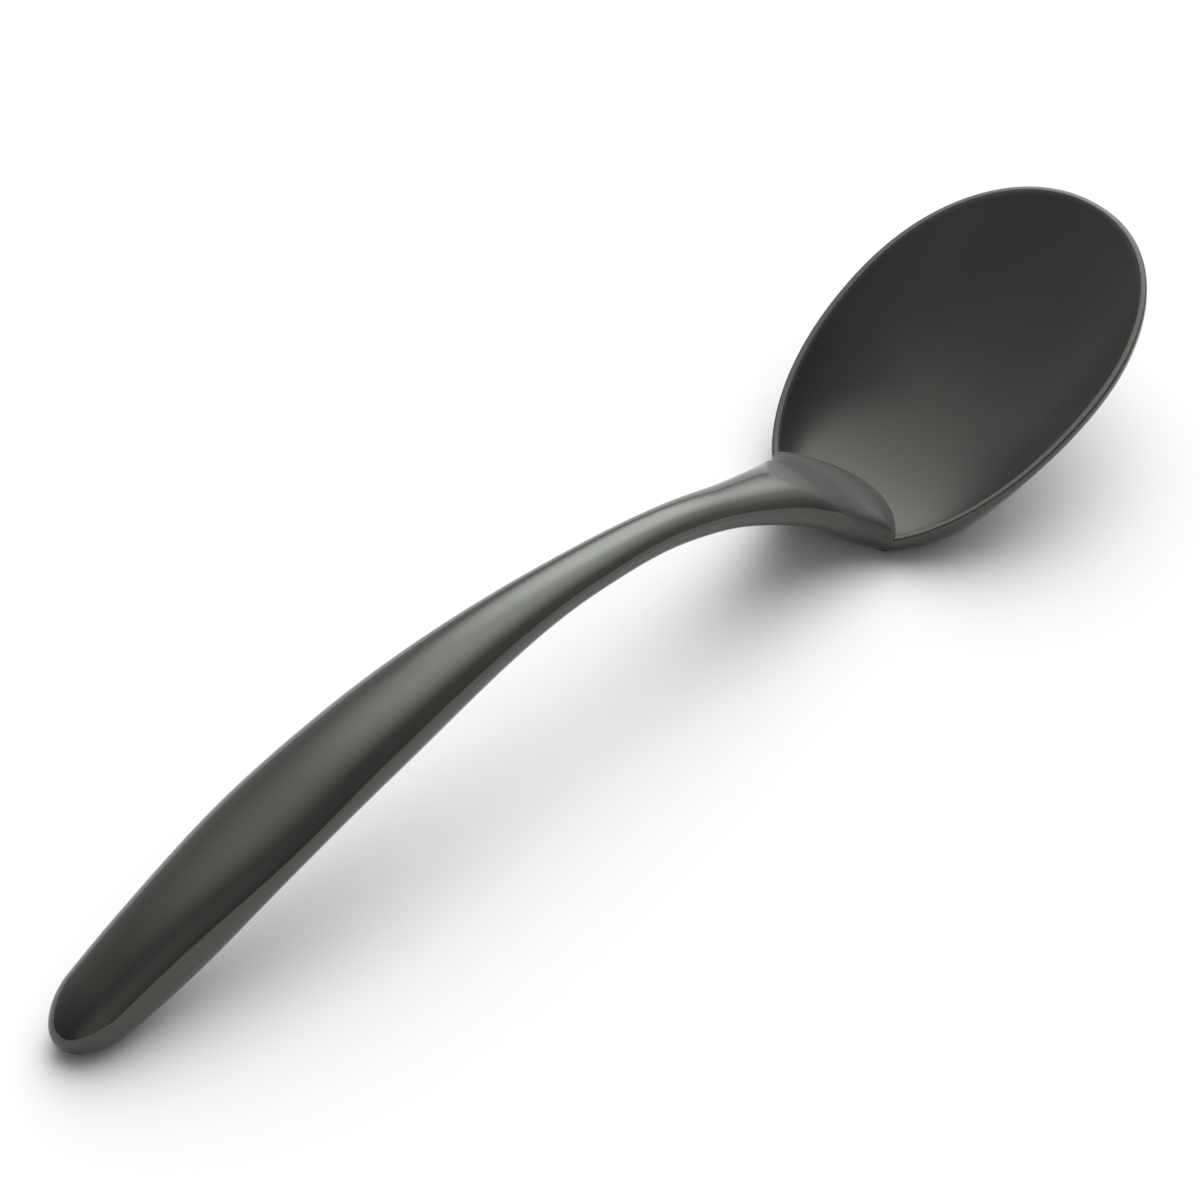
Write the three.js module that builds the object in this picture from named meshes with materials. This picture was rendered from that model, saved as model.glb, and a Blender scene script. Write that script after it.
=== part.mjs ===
// Hollow-handle serving spoon of coated stainless steel, in millimetres.
// X runs from the tail of the handle to the tip of the bowl, Y to the left, Z up.
// The spoon lies on its tail and on a small ground land under the bowl, at z = 0.

import { BufferGeometry, Group, Mesh, MeshStandardMaterial, Vector3 } from 'three';
import { LoftGeometry } from 'three/addons/geometries/LoftGeometry.js';
import { mergeVertices } from 'three/addons/utils/BufferGeometryUtils.js';

// Overall lengths
const HANDLE_LENGTH = 247;
const BOWL_LENGTH = 96;

// Bowl: plan of the rim, heights of the rim, form of the dish
const BOWL_WIDTH = 77.8;
const WIDEST_FROM_HEEL = 48;
const HEEL_WIDTH = 41;
const RIM_ROUNDNESS = 2.1;
const HEEL_HEIGHT = 7;
const HEEL_LIFT = 0.3;
const TIP_HEIGHT = 47;
const RIM_BOW = 1.8;
const BOWL_SHEET = 1.5;
const RIM_EDGE_ROUND = 0.4;
const BELLY_FROM_HEEL = 10;
const HEEL_RISE = 0.5;
const KEEL_POWER = 1.9;
const DISH_POWER = 3.2;
const HEEL_DISH_POWER = 7.5;
const HEEL_DISH_REACH = 48;
const LAND_DEPTH = 0.15;
const STEEPEST_DROP = 1.5;

// Handle: distance from the tail, height of the middle line, full width and full thickness
const TAIL = { at: 0, height: 3.5, width: 16.8, thickness: 11.9 };
const TAIL_SWELL = { at: 30, height: 14.2, width: 21.9, thickness: 18.2 };
const GRIP = { at: 60, height: 25.6, width: 25.2, thickness: 15.8 };
const GRIP_FRONT = { at: 90, height: 33.4, width: 23.3, thickness: 16.6 };
const ARCH_TOP = { at: 160, height: 40, width: 13.1, thickness: 9.7 };

// Neck: distance back from the heel, height of the middle line, full width and full thickness
const NECK = { back: 55, height: 35.2, width: 11.8, thickness: 8.9 };
const THROAT = { back: 31, height: 26.3, width: 15.4, thickness: 9.4 };
const FLARE = { back: 15, height: 17.8, width: 23.7, thickness: 10.7 };

// Sections: 2 is an ellipse, more is boxier
const TAIL_FULLNESS = 2.4;
const SECTION_FULLNESS = 2;
const HEEL_FULLNESS = 3;
const RAMP_FULLNESS = 2.4;
const SLIMMING = { from: 10, to: 80 };

const TAIL_ROUND = 12.2;
const END_BEND = 0.5;
const UPRIGHT_REACH = 42;
const SHELL_WALL = 1;

// Heel: both shells level out over the last stretch, and the upper one runs on as a ramp into the bowl
const LEVEL_REACH = 16;
const RAMP_LEVEL = 0.25;
const UNDER_LEVEL = 0.8;
const RAMP_RISE = 7.8;
const RAMP_REACH = 13;
const RAMP_ROLL = 3.2;
const RAMP_FOOT = 2;
const CREASE_POWER = 2.2;

// Welds
const SEAM_GAP = 0.8;
const HEEL_WELD_WIDTH = 1.2;
const CREASE_WELD_LEG = 1.6;
const WELD_CLEARANCE = 0.06;
const SEAT_CLEARANCE = 0.3;

// Fineness of the faceted solids
const TAIL_ROWS = 8;
const HANDLE_ROWS = 24;
const LEVEL_ROWS = 6;
const RAMP_ROWS = 6;
const ARC_STEPS = 14;
const RIM_STEPS = 48;
const HEEL_STEPS = 14;
const DISH_RINGS = [0, 0.2, 0.38, 0.54, 0.66, 0.76, 0.85, 0.92, 0.97];
const JOIN_DISTANCE = 1e-3;
const SLOPE_STEP = 0.05;

const heelX = HANDLE_LENGTH;
const tipX = HANDLE_LENGTH + BOWL_LENGTH;
const widestX = heelX + WIDEST_FROM_HEEL;
const bellyX = heelX + BELLY_FROM_HEEL;
const levelX = heelX - LEVEL_REACH;
const heelHalf = HEEL_WIDTH / 2;
const bowlHalf = BOWL_WIDTH / 2;
const seamHalf = SEAM_GAP / 2;

// Distance from the widest station back to where the full egg would close.
const heelShare = Math.pow(heelHalf / bowlHalf, RIM_ROUNDNESS);
const rearReach = WIDEST_FROM_HEEL / Math.pow(1 - heelShare, 1 / RIM_ROUNDNESS);

function clamp(value, low, high) {
  return Math.min(Math.max(value, low), high);
}

function ease(from, to, value) {
  const t = clamp((value - from) / (to - from), 0, 1);
  return t * t * (3 - 2 * t);
}

function signedPower(value, power) {
  return Math.sign(value) * Math.pow(Math.abs(value), power);
}

// Smooth curve through the given stations: value and slope at x. Its last slope can be given.
function throughStations(stations, key, x, lastSlope) {
  const last = stations.length - 1;
  const rise = (i) => (stations[i + 1][key] - stations[i][key]) / span(i);
  const span = (i) => stations[i + 1].at - stations[i].at;
  const inner = (i) => (rise(i - 1) * span(i) + rise(i) * span(i - 1)) / (span(i) + span(i - 1));
  const slope = (i) => {
    if (i === 0) return rise(0) + END_BEND * (rise(0) - inner(1));
    if (i < last) return inner(i);
    return lastSlope ?? rise(last - 1) + END_BEND * (rise(last - 1) - inner(last - 1));
  };
  let i = 0;
  while (i < last - 1 && x > stations[i + 1].at) i += 1;
  const h = span(i);
  const t = (x - stations[i].at) / h;
  const a = stations[i][key];
  const b = stations[i + 1][key];
  const value = (2 * t ** 3 - 3 * t ** 2 + 1) * a + (t ** 3 - 2 * t ** 2 + t) * h * slope(i)
    + (3 * t ** 2 - 2 * t ** 3) * b + (t ** 3 - t ** 2) * h * slope(i + 1);
  const grade = (6 * t ** 2 - 6 * t) * (a - b) / h
    + (3 * t ** 2 - 4 * t + 1) * slope(i) + (3 * t ** 2 - 2 * t) * slope(i + 1);
  return { value, grade };
}

// Bowl: rim and dish

// Half width of the rim at a station along the bowl.
function rimHalfWidth(x) {
  const share = x > widestX ? (x - widestX) / (tipX - widestX) : (widestX - x) / rearReach;
  return bowlHalf * Math.pow(Math.max(1 - Math.pow(share, RIM_ROUNDNESS), 0), 1 / RIM_ROUNDNESS);
}

function rimHeight(x) {
  const t = (x - heelX) / BOWL_LENGTH;
  return HEEL_HEIGHT + (TIP_HEIGHT - HEEL_HEIGHT) * t + 4 * RIM_BOW * t * (1 - t);
}

// Height of the inside of the bowl along its middle line.
function keelHeight(x) {
  const belly = BOWL_SHEET - LAND_DEPTH;
  if (x < bellyX) return belly + HEEL_RISE * ((bellyX - x) / BELLY_FROM_HEEL) ** 2;
  return belly + (TIP_HEIGHT - belly) * Math.pow((x - bellyX) / (tipX - bellyX), KEEL_POWER);
}

// Height of the inside of the bowl anywhere within the rim.
function dishHeight(x, y) {
  const station = clamp(x, heelX, tipX);
  const half = rimHalfWidth(station);
  const share = half > JOIN_DISTANCE ? Math.min(Math.abs(y) / half, 1) : 1;
  const forward = ease(heelX, heelX + HEEL_DISH_REACH, station);
  const power = HEEL_DISH_POWER + (DISH_POWER - HEEL_DISH_POWER) * forward;
  const keel = keelHeight(station);
  return keel + (rimHeight(station) - keel) * Math.pow(share, power);
}

// Upright thickness of the sheet where its surface slopes.
function sheetDrop(x, y) {
  const inward = x > widestX ? -SLOPE_STEP : SLOPE_STEP;
  const nearer = Math.max(Math.abs(y) - SLOPE_STEP, 0);
  const alongX = (dishHeight(x + inward, y) - dishHeight(x, y)) / SLOPE_STEP;
  const alongY = (dishHeight(x, Math.abs(y)) - dishHeight(x, nearer)) / SLOPE_STEP;
  return BOWL_SHEET * Math.min(Math.hypot(1, alongX, alongY), STEEPEST_DROP);
}

// Plan of the bowl: the rim from the left corner round the tip, then the straight heel edge, whose
// points lie closer together at the corners, where the dish turns up.
function bowlOutline() {
  const points = [];
  const front = Math.PI / 2;
  const heelAngle = Math.acos(Math.pow(heelHalf / bowlHalf, RIM_ROUNDNESS / 2));
  for (let i = 0; i <= RIM_STEPS; i += 1) {
    const side = 1 - 2 * i / RIM_STEPS;
    const turn = front - Math.abs(side) * (front + heelAngle);
    const reach = turn > 0 ? tipX - widestX : rearReach;
    const x = widestX + reach * signedPower(Math.sin(turn), 2 / RIM_ROUNDNESS);
    const y = bowlHalf * Math.pow(Math.cos(turn), 2 / RIM_ROUNDNESS);
    points.push({ x, y: Math.sign(side) * y });
  }
  for (let i = 1; i < HEEL_STEPS; i += 1) {
    points.push({ x: heelX, y: -heelHalf * Math.cos(Math.PI * i / HEEL_STEPS) });
  }
  return points;
}

// Closed solid from rows of points: shared corners joined, flattened triangles left out.
function closedLoft(rows, capStart, capEnd) {
  const loft = new LoftGeometry(rows, { closed: true, capStart, capEnd });
  const surface = new BufferGeometry();
  surface.setAttribute('position', loft.getAttribute('position'));
  surface.setIndex(loft.getIndex());
  const geometry = mergeVertices(surface, JOIN_DISTANCE);
  const index = geometry.getIndex().array;
  const kept = [];
  for (let i = 0; i < index.length; i += 3) {
    const [a, b, c] = [index[i], index[i + 1], index[i + 2]];
    if (a !== b && b !== c && c !== a) kept.push(a, b, c);
  }
  geometry.setIndex(kept);
  geometry.computeVertexNormals();
  return geometry;
}

function bowlGeometry() {
  const outline = bowlOutline();
  const centreX = (heelX + tipX) / 2;
  const ring = (scale, inset, height) => outline.map((p) => {
    const reach = Math.hypot(p.x - centreX, p.y);
    const share = scale - inset / reach;
    const x = centreX + (p.x - centreX) * share;
    const y = p.y * share;
    return new Vector3(x, y, height(x, y, p));
  });
  const inside = (x, y) => dishHeight(x, y);
  const outside = (x, y) => Math.max(dishHeight(x, y) - sheetDrop(x, y), 0);
  const edgeTop = (x, y, p) => dishHeight(p.x, p.y) - RIM_EDGE_ROUND;
  const edgeFoot = (x, y, p) => outside(p.x, p.y) + RIM_EDGE_ROUND;
  const rows = [];
  for (const scale of DISH_RINGS) rows.push(ring(scale, 0, inside));
  rows.push(ring(1, RIM_EDGE_ROUND, inside));
  rows.push(ring(1, 0, edgeTop));
  rows.push(ring(1, 0, edgeFoot));
  rows.push(ring(1, RIM_EDGE_ROUND, outside));
  for (const scale of [...DISH_RINGS].reverse()) rows.push(ring(scale, 0, outside));
  return closedLoft(rows, false, false);
}

// Handle: one middle line and one set of sections for both shells

// The seam passes just above the rim at the heel, so that the sheet lies under the ramp.
const heelSeamHeight = HEEL_HEIGHT + SEAT_CLEARANCE - seamHalf;
const fromHeel = (s) => ({ ...s, at: heelX - s.back });
const heelThickness = 2 * (heelSeamHeight - HEEL_LIFT);
const HEEL = { at: heelX, height: heelSeamHeight, width: HEEL_WIDTH, thickness: heelThickness };
const stations = [TAIL, TAIL_SWELL, GRIP, GRIP_FRONT, ARCH_TOP,
  fromHeel(NECK), fromHeel(THROAT), fromHeel(FLARE), HEEL];

// The handle widens into the heel as fast as the rim goes on from there.
const flareSlope = 2 * (rimHalfWidth(heelX + SLOPE_STEP) - heelHalf) / SLOPE_STEP;

// Middle point, tilt and half sizes of the handle's section at x.
function handleSection(x) {
  const middle = throughStations(stations, 'height', x);
  const upright = ease(heelX - UPRIGHT_REACH, heelX, x);
  const halfThickness = throughStations(stations, 'thickness', x).value / 2;
  const slim = ease(SLIMMING.from, SLIMMING.to, x);
  const fullness = TAIL_FULLNESS + (SECTION_FULLNESS - TAIL_FULLNESS) * slim;
  const level = clamp((x - levelX) / LEVEL_REACH, 0, 1);
  const hollow = LEVEL_REACH * level ** 2 * (1 - level);
  return {
    x,
    z: middle.value,
    tilt: Math.atan(middle.grade) * (1 - upright),
    halfWidth: throughStations(stations, 'width', x, flareSlope).value / 2,
    above: halfThickness + (RAMP_RISE - halfThickness) * upright - RAMP_LEVEL * hollow,
    below: halfThickness + UNDER_LEVEL * hollow,
    fullnessAbove: fullness + (RAMP_FULLNESS - fullness) * upright,
    fullnessBelow: fullness + (HEEL_FULLNESS - fullness) * upright,
  };
}

// Half arc of a section, from the left edge to the right edge; side is 1 above and -1 below.
function sectionArc(x, side, inset, edge) {
  const section = handleSection(x);
  const round = TAIL_ROUND - inset;
  const toEnd = clamp((TAIL_ROUND - x) / round, 0, 1);
  const swell = Math.sqrt(1 - toEnd * toEnd);
  const halfWidth = (section.halfWidth - inset) * swell;
  const height = ((side > 0 ? section.above : section.below) - inset - edge) * swell;
  const power = 2 / (side > 0 ? section.fullnessAbove : section.fullnessBelow);
  const points = [];
  for (let i = 0; i <= ARC_STEPS; i += 1) {
    const angle = Math.PI * i / ARC_STEPS;
    const y = halfWidth * signedPower(Math.cos(angle), power);
    const h = side * (edge + height * Math.pow(Math.sin(angle), power));
    points.push(new Vector3(x - h * Math.sin(section.tilt), y, section.z + h * Math.cos(section.tilt)));
  }
  return points;
}

// Stations of the rows: close together round the tail, even along the handle, closer again at the heel.
function rowStations(endX) {
  const list = [];
  for (let i = 0; i < TAIL_ROWS; i += 1) list.push(TAIL_ROUND * (i / TAIL_ROWS) ** 2);
  for (let i = 0; i < HANDLE_ROWS; i += 1) list.push(TAIL_ROUND + (levelX - TAIL_ROUND) * i / HANDLE_ROWS);
  for (let i = 0; i <= LEVEL_ROWS; i += 1) list.push(levelX + (endX - levelX) * i / LEVEL_ROWS);
  return list;
}

// The inside of a shell starts one wall in from the tail.
function innerStation(x) {
  if (x >= TAIL_ROUND) return x;
  return SHELL_WALL + x * (TAIL_ROUND - SHELL_WALL) / TAIL_ROUND;
}

// Closed row of a shell: the outer arc, then the inner arc back.
function shellRow(outer, inner, side) {
  const loop = [...outer, ...[...inner].reverse()];
  return side > 0 ? loop : loop.reverse();
}

// Point of the ramp's front edge: an arc in plan that lies on the inside of the bowl.
function creasePoint(y, reach) {
  const x = heelX + reach * Math.max(1 - Math.abs(y / heelHalf) ** CREASE_POWER, 0);
  return new Vector3(x, y, dishHeight(x, y) + SEAT_CLEARANCE);
}

// Rows of the ramp past the heel: level with the handle at first, then rolled over into the bowl.
function rampRows(inset, reach) {
  const heelArc = sectionArc(heelX, 1, inset, seamHalf);
  const before = sectionArc(heelX - HEEL_WELD_WIDTH, 1, inset, seamHalf);
  const rows = [];
  for (let i = 1; i <= RAMP_ROWS; i += 1) {
    const turn = Math.PI / 2 * i / RAMP_ROWS;
    const ahead = Math.pow(Math.sin(turn), 2 / RAMP_ROLL);
    const stands = Math.pow(Math.cos(turn), 2 / RAMP_ROLL);
    rows.push(heelArc.map((p, k) => {
      const foot = creasePoint(p.y, reach);
      const run = (foot.x - heelX) * ahead;
      const fall = (before[k].z - p.z) / HEEL_WELD_WIDTH;
      const top = Math.max(p.z - fall * run, foot.z);
      return new Vector3(heelX + run, p.y, foot.z + (top - foot.z) * stands);
    }));
  }
  return rows;
}

function upperShellGeometry() {
  const rows = rowStations(heelX).map((x) => shellRow(
    sectionArc(x, 1, 0, seamHalf),
    sectionArc(innerStation(x), 1, SHELL_WALL, seamHalf),
    1,
  ));
  const outer = rampRows(0, RAMP_REACH);
  const inner = rampRows(SHELL_WALL, RAMP_REACH - RAMP_FOOT);
  outer.forEach((row, i) => rows.push(shellRow(row, inner[i], 1)));
  return closedLoft(rows, false, true);
}

function lowerShellGeometry() {
  const rows = rowStations(heelX - HEEL_WELD_WIDTH).map((x) => shellRow(
    sectionArc(x, -1, 0, seamHalf),
    sectionArc(innerStation(x), -1, SHELL_WALL, seamHalf),
    -1,
  ));
  return closedLoft(rows, false, true);
}

// Bead between the edges of both shells, from the right heel round the tail to the left heel.
function seamWeldGeometry() {
  const half = seamHalf - WELD_CLEARANCE;
  const corner = (x, inset, side, face) => {
    const arc = sectionArc(x, face, inset, half);
    return side > 0 ? arc[0] : arc[ARC_STEPS];
  };
  const ring = (x, side) => {
    const inside = innerStation(x);
    return [corner(inside, SHELL_WALL, side, 1), corner(inside, SHELL_WALL, side, -1),
      corner(x, 0, side, -1), corner(x, 0, side, 1)];
  };
  const places = rowStations(heelX - HEEL_WELD_WIDTH);
  const right = [...places].reverse().map((x) => ring(x, -1));
  const left = places.slice(1).map((x) => ring(x, 1));
  return closedLoft([...right, ...left], true, true);
}

// Bead across the heel, between the lower shell and the heel edge of the bowl.
function heelWeldUnderGeometry() {
  const places = [heelX - HEEL_WELD_WIDTH + WELD_CLEARANCE, heelX - WELD_CLEARANCE];
  const rows = places.map((x) => shellRow(
    sectionArc(x, -1, 0, seamHalf),
    sectionArc(x, -1, SHELL_WALL, seamHalf),
    -1,
  ));
  return closedLoft(rows, true, true);
}

// Fillet bead in the crease: one foot on the ramp, one on the bowl.
function heelWeldInsideGeometry() {
  const rows = [];
  const reach = heelHalf - 2 * CREASE_WELD_LEG;
  for (let i = 0; i <= 2 * ARC_STEPS; i += 1) {
    const y = reach * (i / ARC_STEPS - 1);
    const root = creasePoint(y, RAMP_REACH + 2 * WELD_CLEARANCE);
    const onBowl = creasePoint(y, RAMP_REACH + CREASE_WELD_LEG);
    const onRamp = root.clone().add(new Vector3(WELD_CLEARANCE, 0, CREASE_WELD_LEG / 2));
    rows.push([root, onRamp, onBowl]);
  }
  return closedLoft(rows, true, true);
}

const COATED_STEEL = { color: 0x31332f, roughness: 0.22, metalness: 0.1 };
const WELD_STEEL = { color: 0x373935, roughness: 0.3, metalness: 0.1 };

function piece(name, geometry, finish) {
  const mesh = new Mesh(geometry, new MeshStandardMaterial(finish));
  mesh.name = name;
  return mesh;
}

// The origin is on the table, under the middle of the spoon's length.
const spoon = new Group();
spoon.position.x = -tipX / 2;
spoon.add(
  piece('bowl', bowlGeometry(), COATED_STEEL),
  piece('handle_upper_shell', upperShellGeometry(), COATED_STEEL),
  piece('handle_lower_shell', lowerShellGeometry(), COATED_STEEL),
  piece('seam_weld', seamWeldGeometry(), WELD_STEEL),
  piece('heel_weld_inside', heelWeldInsideGeometry(), WELD_STEEL),
  piece('heel_weld_under', heelWeldUnderGeometry(), WELD_STEEL),
);

export default spoon;
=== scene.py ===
# %% [markdown]
# # A coated serving spoon
# The frame below is the faceted construction model: a pressed bowl, the two half shells of a hollow
# handle and the three weld beads that hold them together. This lesson dresses it. Each solid is
# replaced by a dense, smooth piece of the same size, made from the same few sizes with formulas, and
# all pieces get the finish of a steel spoon that was sprayed with a dark gloss enamel and stoved.

# %% Load the frame
import math

import bpy
import numpy as np
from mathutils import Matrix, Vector


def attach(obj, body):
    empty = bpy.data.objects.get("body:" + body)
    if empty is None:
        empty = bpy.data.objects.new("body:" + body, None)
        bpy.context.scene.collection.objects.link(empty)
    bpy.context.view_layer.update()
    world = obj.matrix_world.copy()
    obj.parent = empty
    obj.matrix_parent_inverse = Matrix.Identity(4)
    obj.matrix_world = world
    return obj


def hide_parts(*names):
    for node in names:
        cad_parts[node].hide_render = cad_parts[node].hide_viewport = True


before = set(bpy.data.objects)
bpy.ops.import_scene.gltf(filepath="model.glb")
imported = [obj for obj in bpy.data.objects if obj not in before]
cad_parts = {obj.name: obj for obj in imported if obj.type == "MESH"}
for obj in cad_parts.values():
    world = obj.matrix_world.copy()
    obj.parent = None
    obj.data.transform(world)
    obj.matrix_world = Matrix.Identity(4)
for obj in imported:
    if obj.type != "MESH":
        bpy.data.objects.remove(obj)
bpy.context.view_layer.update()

print("frame nodes:", sorted(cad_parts))

# %% [markdown]
# ## Sizes
# All sizes are millimetres measured from the tail, as a maker would note them: X runs along the spoon,
# Y to its left, Z up from the table. Blender works in metres, and the frame's origin lies under the
# middle of the length. Each point could be typed in metres, but one shift and one scale at the end keep
# the maker's numbers readable.

# %% Length, and the way into the frame
MM = 0.001
HANDLE_LENGTH = 247.0
BOWL_LENGTH = 96.0
HEEL_X = HANDLE_LENGTH
TIP_X = HANDLE_LENGTH + BOWL_LENGTH
MIDDLE_X = TIP_X / 2


def to_frame(points):
    """Points in millimetres from the tail, as metres in the frame."""
    return (np.asarray(points, float) - (MIDDLE_X, 0, 0)) * MM


# %% [markdown]
# ## The form of the bowl
# A press forms the bowl from one flat blank. Its rim is an egg in plan, cut straight at the heel, and
# rises from the heel to the tip. It could be sculpted, or bent from a lattice, but formulas hold it
# better: one for the half width of the rim, one for its height, and one for the dish anywhere inside.

# %% Rim of the bowl
BOWL_WIDTH = 77.8
WIDEST_FROM_HEEL = 48.0
HEEL_WIDTH = 41.0
RIM_ROUNDNESS = 2.1
HEEL_HEIGHT = 7.0
TIP_HEIGHT = 47.0
RIM_BOW = 1.8

WIDEST_X = HEEL_X + WIDEST_FROM_HEEL
BOWL_HALF = BOWL_WIDTH / 2
HEEL_HALF = HEEL_WIDTH / 2
heel_share = (HEEL_HALF / BOWL_HALF) ** RIM_ROUNDNESS
REAR_REACH = WIDEST_FROM_HEEL / (1 - heel_share) ** (1 / RIM_ROUNDNESS)


def rim_half_width(x):
    """Half of the rim's width: half an egg ahead of the widest place and a longer one behind it."""
    ahead = (x - WIDEST_X) / (TIP_X - WIDEST_X)
    behind = (WIDEST_X - x) / REAR_REACH
    share = np.where(x > WIDEST_X, ahead, behind)
    return BOWL_HALF * np.maximum(1 - share ** RIM_ROUNDNESS, 0) ** (1 / RIM_ROUNDNESS)


def rim_height(x):
    """Height of the rim: a straight rise from heel to tip, bowed up by RIM_BOW halfway."""
    t = (x - HEEL_X) / BOWL_LENGTH
    return HEEL_HEIGHT + (TIP_HEIGHT - HEEL_HEIGHT) * t + 4 * RIM_BOW * t * (1 - t)


print("half width at the widest place", rim_half_width(np.array(WIDEST_X)), "mm")

# %% Dish of the bowl
BOWL_SHEET = 1.5
LAND_DEPTH = 0.15
BELLY_FROM_HEEL = 10.0
HEEL_RISE = 0.5
KEEL_POWER = 1.9
DISH_POWER = 3.2
HEEL_DISH_POWER = 7.5
HEEL_DISH_REACH = 48.0
NARROWEST = 1e-6
BELLY_X = HEEL_X + BELLY_FROM_HEEL


def ease(start, end, value):
    """Smooth step from 0 at start to 1 at end."""
    t = np.clip((value - start) / (end - start), 0, 1)
    return t * t * (3 - 2 * t)


def keel_height(x):
    """Height of the dish along its middle, lowest at the belly and highest at the tip."""
    belly = BOWL_SHEET - LAND_DEPTH
    behind = np.clip((BELLY_X - x) / BELLY_FROM_HEEL, 0, None)
    ahead = np.clip((x - BELLY_X) / (TIP_X - BELLY_X), 0, None)
    return belly + HEEL_RISE * behind ** 2 + (TIP_HEIGHT - belly) * ahead ** KEEL_POWER


def dish_height(x, y):
    """Height of the dish: flat with steep walls at the heel, evenly round from the widest place on."""
    station = np.clip(x, HEEL_X, TIP_X)
    share = np.minimum(np.abs(y) / np.maximum(rim_half_width(station), NARROWEST), 1)
    forward = ease(HEEL_X, HEEL_X + HEEL_DISH_REACH, station)
    power = HEEL_DISH_POWER + (DISH_POWER - HEEL_DISH_POWER) * forward
    keel = keel_height(station)
    return keel + (rim_height(station) - keel) * share ** power


depth = rim_height(WIDEST_X) - keel_height(WIDEST_X)
print("depth of the dish at its widest place", round(float(depth), 2), "mm")

# %% [markdown]
# ## The form of the handle
# Two pressed half shells make the hollow handle. It is drawn as a hull is lofted: a middle line, a width
# and a thickness at a few stations, and a smooth curve through each of them. A curve object with a
# bevel could do much of this, but not sections that change from round to nearly square, so the sections
# are worked out point by point.

# %% Stations of the handle
SEAM_GAP = 0.8
SEAM_HALF = SEAM_GAP / 2
SEAT_CLEARANCE = 0.3
HEEL_LIFT = 0.3
HEEL_SEAM_HEIGHT = HEEL_HEIGHT + SEAT_CLEARANCE - SEAM_HALF
# Each station: its place along the spoon, the height of the middle line, the width and the thickness.
STATIONS = {
    "tail": (0.0, 3.5, 16.8, 11.9),
    "tail_swell": (30.0, 14.2, 21.9, 18.2),
    "grip": (60.0, 25.6, 25.2, 15.8),
    "grip_front": (90.0, 33.4, 23.3, 16.6),
    "arch_top": (160.0, 40.0, 13.1, 9.7),
    "neck": (HEEL_X - 55.0, 35.2, 11.8, 8.9),
    "throat": (HEEL_X - 31.0, 26.3, 15.4, 9.4),
    "flare": (HEEL_X - 15.0, 17.8, 23.7, 10.7),
    "heel": (HEEL_X, HEEL_SEAM_HEIGHT, HEEL_WIDTH, 2 * (HEEL_SEAM_HEIGHT - HEEL_LIFT)),
}
station_at, station_height, station_width, station_thickness = np.array(list(STATIONS.values())).T
print("stations of the handle:", ", ".join(STATIONS))

# %% Smooth curves through the stations
END_BEND = 0.5


def through_stations(values, x, last=None):
    """Value and slope at x of the smooth curve through the stations, with the slope at its end if given."""
    span = np.diff(station_at)
    rise = np.diff(values) / span
    inner = (rise[:-1] * span[1:] + rise[1:] * span[:-1]) / (span[1:] + span[:-1])
    first = (1 + END_BEND) * rise[0] - END_BEND * inner[0]
    if last is None:
        last = (1 + END_BEND) * rise[-1] - END_BEND * inner[-1]
    slope = np.concatenate([[first], inner, [last]])
    i = np.clip(np.searchsorted(station_at, x, side="left") - 1, 0, len(span) - 1)
    t = (x - station_at[i]) / span[i]
    start = values[i]
    end = values[i + 1]
    value = (2 * t**3 - 3 * t**2 + 1) * start + (t**3 - 2 * t**2 + t) * span[i] * slope[i]
    value += (3 * t**2 - 2 * t**3) * end + (t**3 - t**2) * span[i] * slope[i + 1]
    grade = (6 * t**2 - 6 * t) * (start - end) / span[i]
    grade += (3 * t**2 - 4 * t + 1) * slope[i] + (3 * t**2 - 2 * t) * slope[i + 1]
    return value, grade


heel_grade = through_stations(station_height, np.array([HEEL_X]))[1][0]
print("the middle line falls", round(-float(heel_grade), 2), "mm per mm at the heel")

# %% [markdown]
# Every section is a rounded form between an ellipse and a box: fullness 2 is an ellipse, more is squarer.
# The tail is closed by shrinking the sections like the end of an egg. Towards the heel the sections turn
# upright, so that the last one stands square on the edge of the bowl. There the width of the handle also
# takes on the flare of the rim, and one outline runs on from handle to bowl without a corner.

# %% Flare at the heel
FLARE_STEP = 0.01
flare_slope = 2 * (rim_half_width(HEEL_X + FLARE_STEP) - HEEL_HALF) / FLARE_STEP
print("flare of the rim at the heel", round(float(flare_slope), 2), "mm of width per mm")

# %% Sections of the handle
TAIL_ROUND = 12.2
TAIL_FULLNESS = 2.4
SECTION_FULLNESS = 2.0
HEEL_FULLNESS = 3.0
RAMP_FULLNESS = 2.4
SLIMMING = (10.0, 80.0)
UPRIGHT_REACH = 42.0
RAMP_RISE = 7.8
RAMP_LEVEL = 0.25
UNDER_LEVEL = 0.8
LEVEL_REACH = 16.0
ARC_STEPS = 72


def signed_power(value, power):
    """Power of a number that keeps its sign."""
    return np.sign(value) * np.abs(value) ** power


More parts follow.
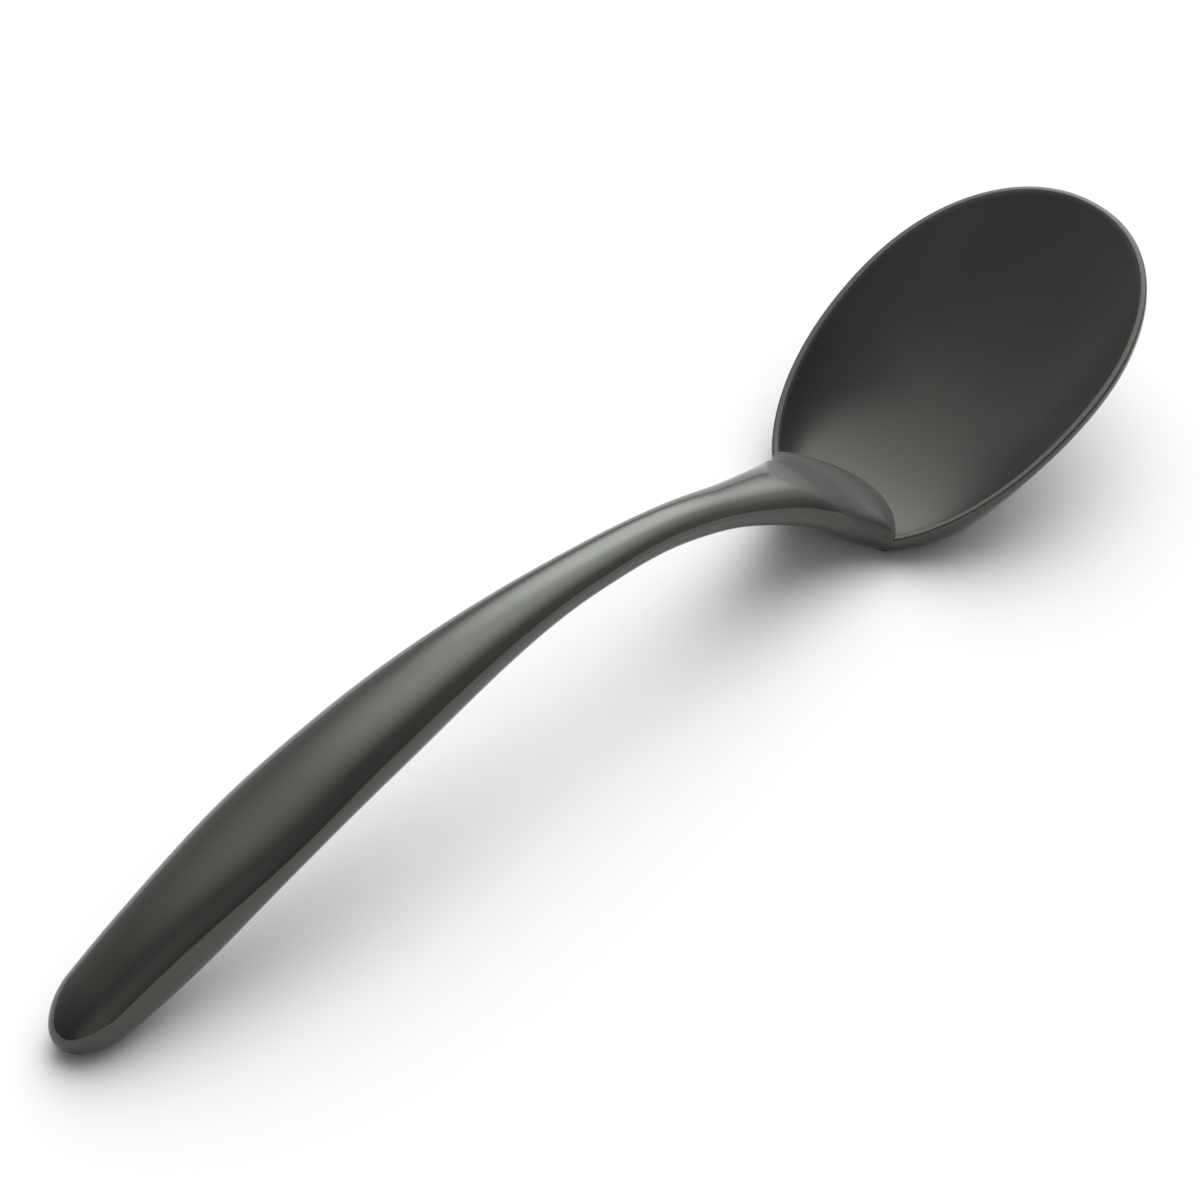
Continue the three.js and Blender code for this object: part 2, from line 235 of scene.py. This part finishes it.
def section_grid(x, side):
    """Half arcs of the sections at stations x, from the left edge to the right, and their upward lines."""
    x = np.asarray(x, float)[:, None]
    height, grade = through_stations(station_height, x)
    upright = ease(HEEL_X - UPRIGHT_REACH, HEEL_X, x)
    tilt = np.arctan(grade) * (1 - upright)
    half_width = through_stations(station_width, x, flare_slope)[0] / 2
    reach = through_stations(station_thickness, x)[0] / 2
    fullness = TAIL_FULLNESS + (SECTION_FULLNESS - TAIL_FULLNESS) * ease(*SLIMMING, x)
    at_heel = RAMP_FULLNESS if side > 0 else HEEL_FULLNESS
    fullness = fullness + (at_heel - fullness) * upright
    level = np.clip((x - HEEL_X + LEVEL_REACH) / LEVEL_REACH, 0, 1)
    hollow = LEVEL_REACH * level**2 * (1 - level)
    if side > 0:
        reach = reach + (RAMP_RISE - reach) * upright - RAMP_LEVEL * hollow
    else:
        reach = reach + UNDER_LEVEL * hollow
    swell = np.sqrt(1 - np.clip((TAIL_ROUND - x) / TAIL_ROUND, 0, 1) ** 2)
    angle = np.pi * np.arange(ARC_STEPS + 1) / ARC_STEPS
    y = half_width * swell * signed_power(np.cos(angle), 2 / fullness)
    stand = side * (SEAM_HALF + (reach - SEAM_HALF) * swell * np.abs(np.sin(angle)) ** (2 / fullness))
    up = np.stack([-np.sin(tilt), np.zeros_like(tilt), np.cos(tilt)], axis=-1)
    middle = np.stack([x, np.zeros_like(x), height], axis=-1)
    across = np.stack([np.zeros_like(y), y, np.zeros_like(y)], axis=-1)
    return middle + across + stand[..., None] * up, up[:, 0]


print("points on each half arc:", ARC_STEPS + 1)

# %% Rows along the handle
TAIL_ROWS = 28
TAIL_CROWDING = 2
TAIL_START = 1e-6
ROW_STEP = 1.2
FINE_STEP = 0.4
HEEL_WELD_WIDTH = 1.2
tail_rows = TAIL_ROUND * (np.arange(TAIL_ROWS) / TAIL_ROWS) ** TAIL_CROWDING
tail_rows = np.maximum(tail_rows, TAIL_START)
body_rows = np.arange(TAIL_ROUND, HEEL_X - LEVEL_REACH, ROW_STEP)
face_rows = np.arange(HEEL_X - LEVEL_REACH, HEEL_X - HEEL_WELD_WIDTH, FINE_STEP)
handle_rows = np.concatenate([tail_rows, body_rows, face_rows, [HEEL_X - HEEL_WELD_WIDTH, HEEL_X]])
print("handle rows:", len(handle_rows))

# %% [markdown]
# ## Meshes from grids
# All pieces are grids of points, so two helpers make all the meshes. One gives a grid of skin points an
# even wall and closes it to a solid, as a Solidify modifier would. It is done by hand here, because the
# helper also takes the surface directions worked out on the whole handle: light then runs on across the
# joints of the pieces, as it does under one coat of enamel.

# %% One smooth piece
def add_piece(name, vertices, faces, nodes, loop_normals=None):
    """Smooth mesh object in the frame that stands for the named nodes."""
    mesh = bpy.data.meshes.new(name)
    mesh.from_pydata(to_frame(vertices).tolist(), [], faces)
    mesh.validate()
    mesh.shade_smooth()
    if loop_normals is not None:
        mesh.normals_split_custom_set(loop_normals)
    piece = bpy.data.objects.new(name, mesh)
    bpy.context.collection.objects.link(piece)
    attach(piece, "root")
    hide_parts(*nodes)
    print(name, "faces:", len(mesh.polygons))
    return piece


# %% One shell with an even wall
SHORTEST_NORMAL = 1e-12


def grid_normals(points):
    """Unit surface directions of a grid of points, from its slopes along rows and columns."""
    along = np.gradient(points, axis=0)
    across = np.gradient(points, axis=1)
    normal = np.cross(across, along)
    return normal / np.maximum(np.linalg.norm(normal, axis=-1, keepdims=True), SHORTEST_NORMAL)


def shell_piece(name, skin, outward, wall, nodes):
    """Solid of even wall: the skin, a lining one wall inside it, and the edges between them."""
    rows, columns = skin.shape[:2]
    lining = skin - wall * outward
    vertices = np.concatenate([skin.reshape(-1, 3), lining.reshape(-1, 3)])
    index = np.arange(rows * columns).reshape(rows, columns)
    corners = [index[:-1, :-1], index[:-1, 1:], index[1:, 1:], index[1:, :-1]]
    outer = np.stack(corners, axis=-1).reshape(-1, 4)
    inner = outer[:, ::-1] + rows * columns
    rim = np.concatenate([index[0, :-1], index[:-1, -1], index[-1, :0:-1], index[:0:-1, 0]])
    ahead = np.roll(rim, -1)
    edge = np.stack([ahead, rim, rim + rows * columns, ahead + rows * columns], axis=-1)
    faces = np.concatenate([outer, inner, edge])
    # A direction of zero leaves a corner the one that Blender works out by itself.
    directions = np.zeros((len(faces), 4, 3))
    directions[: len(outer)] = outward.reshape(-1, 3)[outer]
    return add_piece(name, vertices, faces.tolist(), nodes, directions.reshape(-1, 3).tolist())


# %% [markdown]
# ## The bowl
# The bowl is a sheet of even gauge with a dressed, softly rounded rim edge. A subdivided plate could be
# pulled into shape, but its edge would never lie true on the rim. So rings are shrunk from the outline
# towards the middle: they follow the dish inside, roll over the rim, and come back one sheet lower. A
# small flat is ground under the belly, where the spoon rests on the table.

# %% Outline of the bowl
RIM_STEPS = 240
HEEL_STEPS = 60
heel_angle = math.acos((HEEL_HALF / BOWL_HALF) ** (RIM_ROUNDNESS / 2))
side = 1 - 2 * np.arange(RIM_STEPS + 1) / RIM_STEPS
turn = np.pi / 2 - np.abs(side) * (np.pi / 2 + heel_angle)
reach = np.where(turn > 0, TIP_X - WIDEST_X, REAR_REACH)
egg_x = WIDEST_X + reach * signed_power(np.sin(turn), 2 / RIM_ROUNDNESS)
egg_y = np.sign(side) * BOWL_HALF * np.abs(np.cos(turn)) ** (2 / RIM_ROUNDNESS)
heel_y = -HEEL_HALF + HEEL_WIDTH * np.arange(1, HEEL_STEPS) / HEEL_STEPS
outline = np.stack([
    np.concatenate([egg_x, np.full(HEEL_STEPS - 1, HEEL_X)]),
    np.concatenate([egg_y, heel_y]),
], axis=-1)
bowl_centre = np.array([(HEEL_X + TIP_X) / 2, 0.0])
from_centre = outline - bowl_centre
rim_reach = np.linalg.norm(from_centre, axis=1, keepdims=True)
print("points on the outline:", len(outline))

# %% One ring of the bowl
SLOPE_STEP = 0.05
STEEPEST_DROP = 1.5


def sheet_drop(x, y):
    """Upright thickness of the sheet where its surface slopes."""
    inward = np.where(x > WIDEST_X, -SLOPE_STEP, SLOPE_STEP)
    along = (dish_height(x + inward, y) - dish_height(x, y)) / SLOPE_STEP
    nearer = np.maximum(np.abs(y) - SLOPE_STEP, 0)
    across = (dish_height(x, np.abs(y)) - dish_height(x, nearer)) / SLOPE_STEP
    return BOWL_SHEET * np.minimum(np.sqrt(1 + along**2 + across**2), STEEPEST_DROP)


def bowl_ring(scale, inset, lowered, outside):
    """Ring of points: the outline shrunk to a share of itself and drawn in by inset."""
    plan = bowl_centre + from_centre * scale
    place = bowl_centre + from_centre * (scale * (1 - inset / rim_reach))
    z = dish_height(plan[:, 0], plan[:, 1])
    if outside:
        z = np.maximum(z - sheet_drop(plan[:, 0], plan[:, 1]), 0)
    return np.column_stack([place, z - lowered])


print("sheet at the middle, measured upright", round(float(sheet_drop(*bowl_centre)), 2), "mm")

# %% All rings of the bowl
DISH_RINGS = 56
RING_CROWDING = 0.85
RIM_WIDTH = 1.8
RIM_LIP = 0.35
LIP_POWER = 6
RIM_CORNER = 3.2
RIM_PROFILE_STEPS = 18

rings = []
shares = (np.arange(1, DISH_RINGS + 1) / DISH_RINGS) ** RING_CROWDING
for share in shares:
    rings.append(bowl_ring(share, RIM_WIDTH, RIM_LIP * share**LIP_POWER, False))
crest = bowl_ring(1, 0, 0, False)[:, 2]
foot = bowl_ring(1, 0, 0, True)[:, 2]
for k in range(1, RIM_PROFILE_STEPS):
    bend = np.pi * k / RIM_PROFILE_STEPS
    inset = RIM_WIDTH / 2 * (1 + signed_power(np.cos(bend), 2 / RIM_CORNER))
    fall = 1 - np.sin(bend) ** (2 / RIM_CORNER)
    lowest = RIM_LIP if bend < np.pi / 2 else crest - foot
    ring = bowl_ring(1, inset, 0, False)
    ring[:, 2] = crest - fall * lowest
    rings.append(ring)
for share in shares[::-1]:
    rings.append(bowl_ring(share, 0, 0, True))
print("rings of the bowl:", len(rings))

# %% Mesh of the bowl
ring_count = len(rings)
around = len(outline)
inside_middle = [*bowl_centre, dish_height(*bowl_centre)]
outside_middle = [*bowl_centre, dish_height(*bowl_centre) - sheet_drop(*bowl_centre)]
bowl_points = np.concatenate([*rings, [inside_middle, outside_middle]])
index = np.arange(ring_count * around).reshape(ring_count, around)
ahead = np.roll(index, -1, axis=1)
bowl_faces = np.stack([index[:-1], index[1:], ahead[1:], ahead[:-1]], axis=-1).reshape(-1, 4).tolist()
inside_hub = ring_count * around
outside_hub = inside_hub + 1
for k in range(around):
    bowl_faces.append([inside_hub, index[0, k], ahead[0, k]])
    bowl_faces.append([outside_hub, ahead[-1, k], index[-1, k]])
bowl = add_piece("bowl_dish", bowl_points, bowl_faces, ["bowl"])

# %% [markdown]
# Smooth shading blends the light over every edge. That is right for a pressed dish, but not for the two
# corners where the straight heel meets the egg: there it would smear a grey patch over rim and
# underside. Marking those few edges as sharp keeps the two surfaces apart without changing the mesh.

# %% Sharp corners of the bowl
edge_ends = np.zeros(2 * len(bowl.data.edges), int)
bowl.data.edges.foreach_get("vertices", edge_ends)
edge_ends = edge_ends.reshape(-1, 2)
column = edge_ends % around
upright_edge = (column[:, 0] == column[:, 1]) & np.isin(column[:, 0], (0, RIM_STEPS))
below_rim = (edge_ends.min(axis=1) >= DISH_RINGS * around) & (edge_ends.max(axis=1) < inside_hub)
heel_corner = upright_edge & below_rim
bowl.data.attributes.new("sharp_edge", "BOOLEAN", "EDGE").data.foreach_set("value", heel_corner)
print("sharp edges at the heel corners:", int(heel_corner.sum()))

# %% [markdown]
# ## The handle's half shells
# Both half shells come from the same sections. The upper one runs on past the heel as a tongue that
# rolls over into the bowl. A separate patch for the tongue would show a joint, so each column of the
# shell simply goes on, as a short curve from the heel to the crease in the dish.

# %% Tongue of the upper shell
CREASE_REACH = 13.0
CREASE_POWER = 2.2
TONGUE_ROLL = 3.2
TONGUE_ROWS = 32

upper, upper_up = section_grid(handle_rows, 1)
heel_arc = upper[-1]
heel_fall = (upper[-2, :, 2] - upper[-1, :, 2]) / HEEL_WELD_WIDTH


def crease_points(y, reach, raised):
    """Points across the dish on the arc where the tongue lands, raised a little above it."""
    x = HEEL_X + reach * np.maximum(1 - np.abs(y / HEEL_HALF) ** CREASE_POWER, 0)
    return np.column_stack([x, y, dish_height(x, y) + raised])


crease = crease_points(heel_arc[:, 1], CREASE_REACH, SEAT_CLEARANCE)
run = crease[:, 0] - HEEL_X
roll = np.pi / 2 * (np.arange(1, TONGUE_ROWS + 1) / TONGUE_ROWS)[:, None]
ahead = np.sin(roll) ** (2 / TONGUE_ROLL)
stands = np.cos(roll) ** (2 / TONGUE_ROLL)
face = np.maximum(heel_arc[:, 2] - heel_fall * run * ahead, crease[:, 2])
tongue = np.stack([
    HEEL_X + run * ahead,
    np.broadcast_to(heel_arc[:, 1], face.shape),
    crease[:, 2] + (face - crease[:, 2]) * stands,
], axis=-1)
print("tongue stands", round(float(heel_arc[:, 2].max() - crease[:, 2].min()), 1), "mm above the dish")

# %% Upper shell
SHELL_WALL = 1.0


def edged_normals(skin, lines, side):
    """Surface directions of a half shell, smooth over the upright strip of the seam at both edges."""
    strip = -side * SEAM_GAP * lines[:, None]
    wider = np.concatenate([skin[:, :1] + strip, skin, skin[:, -1:] + strip], axis=1)
    normal = side * grid_normals(wider)[:, 1:-1]
    backward = np.array([-lines[0, 2], 0, lines[0, 0]])
    normal[0] = backward
    return normal


upper_skin = np.concatenate([upper, tongue])
upper_lines = np.concatenate([upper_up, np.repeat(upper_up[-1:], TONGUE_ROWS, axis=0)])
upper_normals = edged_normals(upper_skin, upper_lines, 1)
upper_shell = shell_piece("handle_upper", upper_skin, upper_normals, SHELL_WALL,
                          ["handle_upper_shell"])

# %% Lower shell
lower, lower_up = section_grid(handle_rows, -1)
lower_normals = edged_normals(lower, lower_up, -1)
lower_shell = shell_piece("handle_lower", lower[:-1, ::-1], lower_normals[:-1, ::-1], SHELL_WALL,
                          ["handle_lower_shell"])

# %% [markdown]
# ## The weld beads
# Three welds hold the spoon together: one between the lower shell and the heel of the bowl, one round the
# edges of the two shells, and a fillet in the crease under the tongue. The real ones are dressed flush
# before the coat goes on. So each bead is a strip of the same skin that the neighbours leave free, with
# the neighbours' surface directions, and only the fillet has a curve of its own.

# %% Heel bead
heel_bead = shell_piece("heel_bead_under", lower[-2:, ::-1], lower_normals[-2:, ::-1], SHELL_WALL,
                        ["heel_weld_under"])

# %% Seam bead
def both_sides(upper_grid, lower_grid):
    """Two columns of points that run along the right edge to the tail and back along the left edge."""
    right = np.stack([upper_grid[::-1, -1], lower_grid[::-1, -1]], axis=1)
    left = np.stack([upper_grid[1:, 0], lower_grid[1:, 0]], axis=1)
    return np.concatenate([right, left])


seam_skin = both_sides(upper, lower)
seam_normals = both_sides(upper_normals[:len(handle_rows)], lower_normals)
seam_bead = shell_piece("seam_bead", seam_skin[:, ::-1], seam_normals[:, ::-1], SHELL_WALL,
                        ["seam_weld"])

# %% Crease bead
BEAD_LEG = 1.6
BEAD_STEPS = 8
BEAD_WALL = 0.3
BEAD_HEAD_ROW = -5
BEAD_INSET = 4
FOOT_CLEARANCE = 0.1
head_line = tongue[BEAD_HEAD_ROW]
foot_line = crease_points(heel_arc[:, 1], CREASE_REACH + BEAD_LEG, FOOT_CLEARANCE)
down = (np.arange(BEAD_STEPS + 1) / BEAD_STEPS)[:, None, None]
bead_skin = (1 - down) ** 2 * head_line + 2 * down * (1 - down) * crease + down**2 * foot_line
bead_skin = bead_skin[:, BEAD_INSET:-BEAD_INSET]
crease_bead = shell_piece("crease_bead", bead_skin, grid_normals(bead_skin), BEAD_WALL,
                          ["heel_weld_inside"])

# %% [markdown]
# ## Finish
# The spoon is stainless steel, sprayed with a dark grey gloss enamel and stoved. The eye sees a deep,
# nearly black grey with a green cast, and over it a clear mirror of the studio that grows towards
# grazing angles. A metal under a clear coat would be too bright, so the enamel is a dielectric body with
# its own gloss. Serving and washing have rubbed the bowl and its rim duller, and the bowl's body is
# painted a little paler, as painted light for its bright inside. The rim's rolled top carries a painted
# highlight, a paler grey band. The landing of the ramp has a satin face with a paler grey painted on it,
# a painted reflection of the bowl. The mesh carries two marks for rim and face, and one recipe reads them.

# %% Material helpers
def linear(hex_colour):
    """sRGB hex colour as linear red, green, blue and alpha."""
    channels = [int(hex_colour[i:i + 2], 16) / 255 for i in (1, 3, 5)]
    return (*[c / 12.92 if c <= 0.04045 else ((c + 0.055) / 1.055) ** 2.4 for c in channels], 1)


def new_material(name):
    """Material with an empty node tree."""
    material = bpy.data.materials.new(name)
    material.use_nodes = True
    material.node_tree.nodes.clear()
    return material


def add_node(material, kind, settings=None, inputs=None):
    """Adds a node, sets its properties and fills its inputs with values or links to other sockets."""
    node = material.node_tree.nodes.new(kind)
    for name, value in (settings or {}).items():
        setattr(node, name, value)
    for name, value in (inputs or {}).items():
        if isinstance(value, bpy.types.NodeSocket):
            material.node_tree.links.new(value, node.inputs[name])
        else:
            node.inputs[name].default_value = value
    return node


print("half grey #808080 is", round(linear("#808080")[0], 3), "in linear light")

# %% Mark of the rim's painted highlight
RIM_RINGS = 10


def mark(piece, name, values):
    """Keeps one number per mesh point, for the finish to read."""
    piece.data.attributes.new(name, "FLOAT", "POINT").data.foreach_set("value", np.ravel(values))
    print(piece.name, "marked with", name)


# The rolled top of the rim is marked for a painted highlight: a paler grey where it catches the light.
ring_number = np.arange(ring_count)
rim_ring = (ring_number >= DISH_RINGS - 1) & (ring_number < DISH_RINGS + RIM_RINGS)
hub_marks = [0.0, 0.0]
mark(bowl, "painted_rim_highlight", [*np.repeat(rim_ring, around), *hub_marks])

# %% Mark of the satin face and its painted reflection
# The landing of the ramp is marked for a duller, satin gloss and for a painted reflection: a paler grey
# that stands in for the bowl mirrored in it.
FACE_LENGTH = 22.0
FACE_ARC_POWER = 1.35
FACE_SOFT = 0.8
FACE_END = 0.45
FACE_END_SOFT = 0.03
ROLL_SHARE = 0.6
along = upper_skin[..., 0]
across = np.abs(upper_skin[..., 1] / HEEL_HALF)
face_edge = HEEL_X - FACE_LENGTH + FACE_LENGTH * across ** FACE_ARC_POWER
face_share = ease(-FACE_SOFT, FACE_SOFT, along - face_edge)
past_face = (along - HEEL_X) / np.maximum(run, FACE_SOFT)
on_roll = ease(FACE_END - FACE_END_SOFT, FACE_END + FACE_END_SOFT, past_face)
face_share = (face_share * (1 - (1 - ROLL_SHARE) * on_roll)).ravel()
mark(upper_shell, "satin_face_and_painted_reflection", np.concatenate([face_share, face_share]))

# %% Clouds and orange peel of the coat
# Uneven spraying leaves faint clouds about a finger's width apart.
MOTTLE_MM = 14.0
MOTTLE_DETAIL = 3.0
# Orange peel lies 1 to 3 mm apart. The widest is drawn, because finer dimples don't show at this size.
PEEL_MM = 3.0
PEEL_DETAIL = 1.0
PEEL_DEPTH_MM = 0.0005
print("peel drawn", PEEL_MM, "mm apart and", PEEL_DEPTH_MM, "mm deep, clouds", MOTTLE_MM, "mm apart")

# %% Recipe of the enamel
# Painted reflection on the ramp's landing: a paler grey.
PAINTED_FACE_REFLECTION_GREY = "#393b39"
FACE_ROUGHNESS = 0.5
# Painted highlight on the rim's rolled top: a paler grey band.
PAINTED_RIM_HIGHLIGHT_GREY = "#5a5c59"
MIRROR_TINT = "#f9fff4"
# Enamels have an IOR of 1.5 to 1.6.
ENAMEL_IOR = 1.6
COLOUR_MIX = {"data_type": "RGBA"}
# A Mix node for colours has its share, its two colours and its result at these sockets.
SHARE = 0
FIRST = 6
SECOND = 7
MIXED = 2


def stoved_enamel(name, dark, light, roughness, mirror):
    """Sprayed and stoved enamel: a dark body with a painted highlight where the rim is marked, and a
    painted reflection under a duller gloss where the face is marked.
    """
    material = new_material(name)
    place = add_node(material, "ShaderNodeTexCoord").outputs["Object"]
    rim = add_node(material, "ShaderNodeAttribute", {"attribute_name": "painted_rim_highlight"}).outputs["Fac"]
    face = add_node(material, "ShaderNodeAttribute", {"attribute_name": "satin_face_and_painted_reflection"}).outputs["Fac"]
    mottle = add_node(material, "ShaderNodeTexNoise", {}, {
        "Vector": place, "Scale": 1 / (MOTTLE_MM * MM), "Detail": MOTTLE_DETAIL}).outputs["Fac"]
    body = add_node(material, "ShaderNodeMix", COLOUR_MIX, {
        SHARE: mottle, FIRST: linear(dark), SECOND: linear(light)}).outputs[MIXED]
    # The face's paler grey is a painted reflection, and the rim's paler grey is a painted highlight.
    ground = add_node(material, "ShaderNodeMix", COLOUR_MIX, {
        SHARE: face, FIRST: body, SECOND: linear(PAINTED_FACE_REFLECTION_GREY)}).outputs[MIXED]
    colour = add_node(material, "ShaderNodeMix", COLOUR_MIX, {
        SHARE: rim, FIRST: ground, SECOND: linear(PAINTED_RIM_HIGHLIGHT_GREY)}).outputs[MIXED]
    peel = add_node(material, "ShaderNodeTexNoise", {}, {
        "Vector": place, "Scale": 1 / (PEEL_MM * MM), "Detail": PEEL_DETAIL}).outputs["Fac"]
    bump = add_node(material, "ShaderNodeBump", {}, {
        "Height": peel, "Distance": PEEL_DEPTH_MM * MM, "Strength": 1.0}).outputs["Normal"]
    dull = add_node(material, "ShaderNodeMapRange", {}, {
        "Value": face, "To Min": roughness, "To Max": FACE_ROUGHNESS}).outputs["Result"]
    surface = add_node(material, "ShaderNodeBsdfPrincipled", {}, {
        "Base Color": colour, "Roughness": dull, "Normal": bump, "Metallic": 0.0, "IOR": ENAMEL_IOR,
        "Specular IOR Level": mirror, "Specular Tint": linear(MIRROR_TINT)})
    add_node(material, "ShaderNodeOutputMaterial", {}, {"Surface": surface.outputs["BSDF"]})
    print(name, "nodes:", len(material.node_tree.nodes))
    return material


# %% Three coats
ENAMEL_DARK = "#30312e"
ENAMEL_LIGHT = "#343532"
GLOSS_ROUGHNESS = 0.06
GLOSS_MIRROR = 0.5
# Gloss enamel on pressed steel: a deep grey under a hard, clear mirror with crisp highlights.
sheet_enamel = stoved_enamel("stoved_enamel_on_steel", ENAMEL_DARK, ENAMEL_LIGHT,
                             GLOSS_ROUGHNESS, GLOSS_MIRROR)
BOWL_DARK = "#3a3b39"
BOWL_LIGHT = "#3e3f3c"
BOWL_ROUGHNESS = 0.37
BOWL_MIRROR = 0.27
# The same enamel rubbed duller by serving and washing, with one wide, soft sheen.
# Its body is painted a little paler, as painted light for the bright inside of the bowl.
bowl_enamel = stoved_enamel("rubbed_enamel_painted_paler_in_the_bowl", BOWL_DARK, BOWL_LIGHT,
                            BOWL_ROUGHNESS, BOWL_MIRROR)
# The coat over a dressed weld: it flows out level, so that the eye finds no bead.
bead_enamel = stoved_enamel("stoved_enamel_on_ground_weld", ENAMEL_DARK, ENAMEL_LIGHT,
                            GLOSS_ROUGHNESS, GLOSS_MIRROR)

# %% Coats on their pieces
for piece in (bowl, upper_shell, lower_shell):
    piece.data.materials.append(sheet_enamel)
bowl.data.materials.append(bowl_enamel)
face_ring = np.arange(len(bowl.data.polygons)) // around
in_the_bowl = (face_ring < DISH_RINGS + RIM_RINGS).astype(int)
# The last faces are the fans round the two middles, inside and outside by turns.
in_the_bowl[(ring_count - 1) * around::2] = 1
bowl.data.polygons.foreach_set("material_index", in_the_bowl)
for piece in (heel_bead, seam_bead, crease_bead):
    piece.data.materials.append(bead_enamel)
print("faces with the bowl's rubbed enamel:", int(in_the_bowl.sum()))

# %% [markdown]
# ## Studio
# The spoon lies on a pale table under a large soft light that fades out without edges, in a dark room:
# the coat mirrors the table below and the light above, with the dark of the room between them. Area
# lamps would show as hard shapes in the gloss. So the light is drawn into the world as four round
# glows, each given by its direction, its size and its strength. A world has no distance, so the table is
# lit evenly everywhere and stays white around the spoon's shadow.

# %% Table
TABLE_RADIUS = 6.0
TABLE_CORNERS = 96
TABLE_WHITE = "#f4f4f4"
bpy.ops.mesh.primitive_circle_add(vertices=TABLE_CORNERS, radius=TABLE_RADIUS, fill_type="NGON")
table = bpy.context.object
table.name = "table"
# Matt white paint, rolled on: it scatters the light evenly and shows soft shadows, with no gloss.
table_paint = new_material("matt_white_table")
diffuse = add_node(table_paint, "ShaderNodeBsdfDiffuse", {}, {"Color": linear(TABLE_WHITE)})
add_node(table_paint, "ShaderNodeOutputMaterial", {}, {"Surface": diffuse.outputs["BSDF"]})
table.data.materials.append(table_paint)
print("table radius", TABLE_RADIUS, "m")

# %% Glows
# Each glow: its direction round the spoon and its height in degrees, how far from its middle it is full
# and where it has faded, both on a globe of radius 1, and its strength.
GLOWS = {
    "main": (33.4, 30.6, 0.13, 0.55, 2.9),
    "high": (22.6, 58.5, 0.08, 0.92, 2.8),
    "wide": (33.6, 5.0, 0.79, 2.0, 0.55),
    "fill": (225.0, 22.0, 0.2, 0.95, 0.5),
}


def direction(along_degrees, height_degrees):
    """Unit direction from its angle round the spoon and its height above the table."""
    along = math.radians(along_degrees)
    height = math.radians(height_degrees)
    return (math.cos(height) * math.cos(along), math.cos(height) * math.sin(along), math.sin(height))


print("glows in the room:", ", ".join(GLOWS))

# %% Light
LIGHT_COLOUR = "#ffffff"
room = bpy.data.worlds.new("room")
room.use_nodes = True
room.node_tree.nodes.clear()
outward = add_node(room, "ShaderNodeTexCoord").outputs["Generated"]
light = None
for along_degrees, height_degrees, full, faded, strength in GLOWS.values():
    away = add_node(room, "ShaderNodeVectorMath", {"operation": "DISTANCE"}, {
        0: outward, 1: direction(along_degrees, height_degrees)})
    glow = add_node(room, "ShaderNodeMapRange", {"interpolation_type": "SMOOTHSTEP"}, {
        "Value": away.outputs["Value"], "From Min": full, "From Max": faded,
        "To Min": strength, "To Max": 0.0}).outputs["Result"]
    light = glow if light is None else add_node(room, "ShaderNodeMath", {"operation": "ADD"}, {
        0: light, 1: glow}).outputs["Value"]
background = add_node(room, "ShaderNodeBackground", {}, {"Color": linear(LIGHT_COLOUR), "Strength": light})
add_node(room, "ShaderNodeOutputWorld", {}, {"Surface": background.outputs["Background"]})
bpy.context.scene.world = room
print("nodes of the room's light:", len(room.node_tree.nodes))

# %% [markdown]
# ## Camera
# The camera stands behind the tail and to the right of the spoon, and looks down on it. Its direction and
# lens were worked out from the outlines of rim and handle, which is surer than turning it by eye. It keeps
# well back and has a long lens, so that both ends of the spoon show at nearly one scale.

# %% Camera
CAMERA_ALONG = 45.55
CAMERA_DOWN = 43.90
CAMERA_DISTANCE = 1.0
CAMERA_LENS = 126.5
SENSOR_WIDTH = 36.0
AIM = Vector((0.0, 0.00515, 0.020))
look = Vector(direction(CAMERA_ALONG, -CAMERA_DOWN))
lens = bpy.data.cameras.new("camera")
lens.lens = CAMERA_LENS
lens.sensor_width = SENSOR_WIDTH
camera = bpy.data.objects.new("camera", lens)
camera.location = AIM - CAMERA_DISTANCE * look
camera.rotation_euler = look.to_track_quat("-Z", "Y").to_euler()
bpy.context.collection.objects.link(camera)
bpy.context.scene.camera = camera
bpy.context.scene.view_settings.view_transform = "Standard"
print("camera at", [round(v, 3) for v in camera.location])
